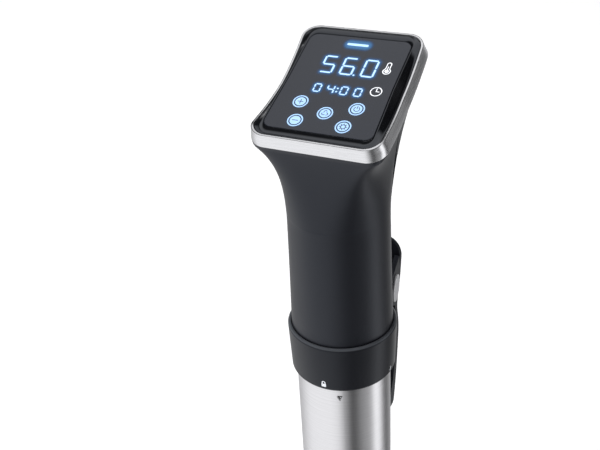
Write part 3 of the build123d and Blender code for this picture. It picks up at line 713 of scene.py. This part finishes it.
# %% Halo sheet
def nearness(flat, lines, reach, power=2):
    """exp(-(distance to the nearest line / reach) ** power), for every point at once."""
    start, end = lines[:, :2], lines[:, 2:]
    along = end - start
    towards = flat[..., None, :] - start
    share = ((towards * along).sum(-1) / (along ** 2).sum(-1).clip(1e-9)).clip(0, 1)
    gap = np.linalg.norm(towards - share[..., None] * along, axis=-1).min(-1)
    return np.exp(-(gap / reach) ** power)


columns, rows = np.meshgrid(np.linspace(-31, 31, 125), np.linspace(-36, 36, 145))
flat = np.stack([columns, rows], -1)
key_spots = np.array([(x, y, x + 0.01, y) for x, y in keys.values()])
halo = np.maximum.reduce([
    nearness(flat, temperature, 1.5), nearness(flat, timer, 1.25), nearness(flat, dots, 1.4),
    nearness(flat, key_spots, 5.0) ** 3,
    nearness(flat, np.array([(-4.6, 31.3, 5.0, 31.3)]), 3.7, 5),
])


def halo_light(place):
    """Blue light whose cover is the sheet's own glow value."""
    glow = place.node("Attribute", {"attribute_name": "glow"}, output="Fac")
    haze = place.noise(500, 2)
    return {"Alpha": glow * (0.9 + haze * 0.1) * 0.85,
            "Emission_Color": glow.tint((0.04, 0.16, 0.42), (0.08, 0.30, 0.62))}


halo_blue = new_finish("halo_blue", halo_light, Emission_Strength=0.75, Roughness=0.5,
                       Base_Color=(0.02, 0.03, 0.08, 1))
grid_piece("halo_sheet", on_glass(flat, 0.02), halo_blue, slot="light_blue", values=halo)

# %% [markdown]
# ## Wrapping a drawing round a wall
# Print is a thin film that follows what it is printed on, so a flat drawing is wrapped round: its
# width becomes an angle. The collar widens upwards, and its own outline gives the radius at each
# height. The tube is straight.

# %% Wrap round the collar and the tube
collar_wall = collar_outline[5:8] / 1000
tube_radius = 30.0


def on_collar(flat, azimuth, height, lift=0.04):
    """Drawing in mm laid on the collar: angle = azimuth + x / radius, radius from the profile.
    The azimuth is in degrees from the front, growing to the right."""
    flat = np.asarray(flat, float) / 1000
    z = height / 1000 + flat[..., 1]
    radius = np.interp(z, collar_wall[:, 1], collar_wall[:, 0]) + lift / 1000
    angle = radians(azimuth) + flat[..., 0] / radius
    return np.stack([radius * np.sin(angle), -radius * np.cos(angle), z], -1)


def on_tube(flat, azimuth, height, lift=0.03):
    """Drawing in mm laid on the tube: angle = azimuth + x / radius, azimuth as above."""
    flat = np.asarray(flat, float)
    angle = radians(azimuth) + flat[..., 0] / tube_radius
    radius = (tube_radius + lift) / 1000
    return np.stack([radius * np.sin(angle), -radius * np.cos(angle),
                     (height + flat[..., 1]) / 1000], -1)


# %% [markdown]
# ## The arrow on the tube
# A small pressed arrow under the collar shows how far the tube is turned. It is a dark triangle
# that points down, with a small patch of bright steel in it as a painted highlight, and it turns
# and slides with the tube.

# %% Press the arrow
def triangle(width, height, rows=6):
    """A triangle that points down: each row's half width falls evenly to nothing."""
    down = np.linspace(0, 1, rows)[:, None]
    side = np.linspace(-1, 1, 5)[None, :]
    return np.stack([side * (width / 2) * (1.001 - down), height * (0.5 - down) + 0 * side], -1)


arrow_black = new_finish("arrow_black", polished((0.012, 0.012, 0.014), 0.35))
arrow_azimuth, arrow_height = 18.3, 182.9
# Painted highlight: a small triangle of bright steel in the dark pit stands for the arrow's glint.
glint = triangle(0.9, 0.8) + np.array([0.35, 0.25])
for name, drawing, lift, finish, slot in (
    ("arrow_pit", triangle(3.6, 3.0), 0.03, arrow_black, "cap_black"),
    ("arrow_glint", glint, 0.06, finishes["bright_steel"], "bright_steel"),
):
    wrapped = on_tube(drawing[::-1], arrow_azimuth, arrow_height, lift)
    grid_piece(name, wrapped, finish, slot, body="tube")

# %% [markdown]
# ## Marks on the collar
# A printed padlock shows where the tube locks, and a small slanted bar shows where it comes free.
# The tube's arrow is turned to one or the other. The print also gives off a faint light of its
# own, a painted light that keeps it bright where the collar faces down.

# %% Print the marks
# White print, with painted light: a faint glow of its own, though it is no lamp.
print_white_with_painted_glow = new_finish(
    "print_white_with_painted_glow", polished((0.86, 0.88, 0.92), 0.5), Emission_Strength=0.25,
    Emission_Color=(0.8, 0.85, 0.9, 1))
padlock_body = [(-1.2, 0.45 * i - 1.0, 1.2, 0.45 * i - 1.0) for i in range(5)]
padlock_legs = [(-0.95, 0.9, -0.95, 1.9), (0.95, 0.9, 0.95, 1.9)]
lock_azimuth, release_azimuth = 1.6, 85.4
for name, drawing, azimuth, height in (
    ("padlock_body", bars(padlock_body, 0.6), lock_azimuth, 194.2),
    ("padlock_legs", bars(padlock_legs, 0.62), lock_azimuth, 194.2),
    ("padlock_bow", arcs([(0, 1.9, 0.95, 0.62, 0, 180)]), lock_azimuth, 194.2),
    ("release_mark", bars([(-0.5, -1.1, 0.5, 1.1)], 0.8), release_azimuth, 194.0),
):
    grid_piece(name, on_collar(drawing, azimuth, height), print_white_with_painted_glow, "inlay_silver")

# %% [markdown]
# ## The camera
# The camera looks down on the head from the right. Its place and its three directions are plain
# numbers, the columns of one matrix.

# %% Set the camera
camera_place = (0.18529, -0.40818, 0.55146)
camera_right = (0.9007, 0.4313, -0.0529)
camera_up = (-0.1760, 0.4735, 0.8630)
camera_back = (0.3972, -0.7680, 0.5024)
lens_data = bpy.data.cameras.new("portrait_camera")
lens_data.sensor_width = 36.0
lens_data.lens = 52.83
lens_data.clip_start = 0.01
camera = bpy.data.objects.new("portrait_camera", lens_data)
bpy.context.scene.collection.objects.link(camera)
turned = np.eye(4)
turned[:3, :3] = np.array([camera_right, camera_up, camera_back]).T
turned[:3, 3] = camera_place
camera.matrix_world = Matrix(turned.tolist())
bpy.context.scene.camera = camera

# %% [markdown]
# ## The studio
# Dark plastic and brushed steel show the room more than themselves, so the room is built for
# them: a wide soft wall of light on the left, a narrow one on the right, a broad faint one behind
# the object, darkness behind the camera, and a pale ceiling for the glass. All of it is one sky,
# worked out from direction alone.

# %% Sky of soft lights
world = bpy.data.worlds.new("studio")
bpy.context.scene.world = world
world.use_nodes = True
sky = world.node_tree
direction = Signal(sky).node("TexCoord", output="Generated")
toward = {name: direction.node("SeparateXYZ", inputs={0: direction}, output=name)
          for name in ("X", "Y", "Z")}
flat_length = (toward["X"] * toward["X"] + toward["Y"] * toward["Y"] + 1e-6) ** 0.5


def facing(azimuth):
    """Cosine of the angle between a level direction and the azimuth, in degrees from front."""
    a = radians(azimuth)
    return (toward["X"] * sin(a) + toward["Y"] * -cos(a)) * (flat_length ** -1.0)


def soft_wall(azimuth, core, edge):
    """1 within core degrees of the azimuth, fading to 0 at edge degrees."""
    return facing(azimuth).band(cos(radians(edge)), cos(radians(core)))


camera_azimuth = 27.3
level = (soft_wall(camera_azimuth - 68, 24, 84) * 1.28
         + soft_wall(camera_azimuth + 80, 7, 17) * 1.35
         + soft_wall(camera_azimuth + 66, 12, 48) * 0.3
         + soft_wall(camera_azimuth + 178, 20, 66) * 0.62 + 0.09)
low = 1 - toward["Z"].band(0.0, 0.34)
ceiling = toward["Z"].band(0.7, 0.88) * 1.2
sky_light = level * low + ceiling + 0.02
seen = Signal(sky).node("LightPath", output="Is Camera Ray")
strength = sky_light * (1 - seen) + seen
background = sky.nodes["Background"]
background.inputs["Color"].default_value = (0.985, 0.99, 1.0, 1)
sky.links.new(strength.socket, background.inputs["Strength"])

# %% [markdown]
# ## Floor and lamp
# The floor is plain and pale. Only reflections pass through it, to the sky below. One broad lamp
# overhead draws a faint shadow, so that the object stands on the floor.

# %% Floor and a soft lamp
def pale_floor(place):
    """Painted board: almost even, with the faintest clouds."""
    clouds = place.noise(3, 3)
    return {"Base_Color": clouds.tint((0.90, 0.90, 0.905), (0.93, 0.93, 0.93)),
            "Roughness": clouds * 0.1 + 0.6}


floor_finish = new_finish("floor", pale_floor, Specular_IOR_Level=0.1,
                          Emission_Color=(1, 1, 1, 1), Emission_Strength=0.42)
span = np.linspace(-6, 6, 3)
floor_x, floor_y = np.meshgrid(span, span)
floor_height = -0.0002
floor = grid_object("floor", np.stack([floor_x, floor_y, 0 * floor_x + floor_height], -1),
                    floor_finish)
floor.visible_glossy = False

lamp_data = bpy.data.lights.new("soft_lamp", "AREA")
lamp_data.shape = "DISK"
lamp_data.size = 1.6
lamp_data.energy = 26
lamp = bpy.data.objects.new("soft_lamp", lamp_data)
lamp.location = (-0.9, -0.7, 2.2)
lamp.rotation_euler = (radians(20), radians(-24), 0)
lamp.visible_glossy = False
bpy.context.scene.collection.objects.link(lamp)
bpy.context.scene.view_settings.view_transform = "Standard"
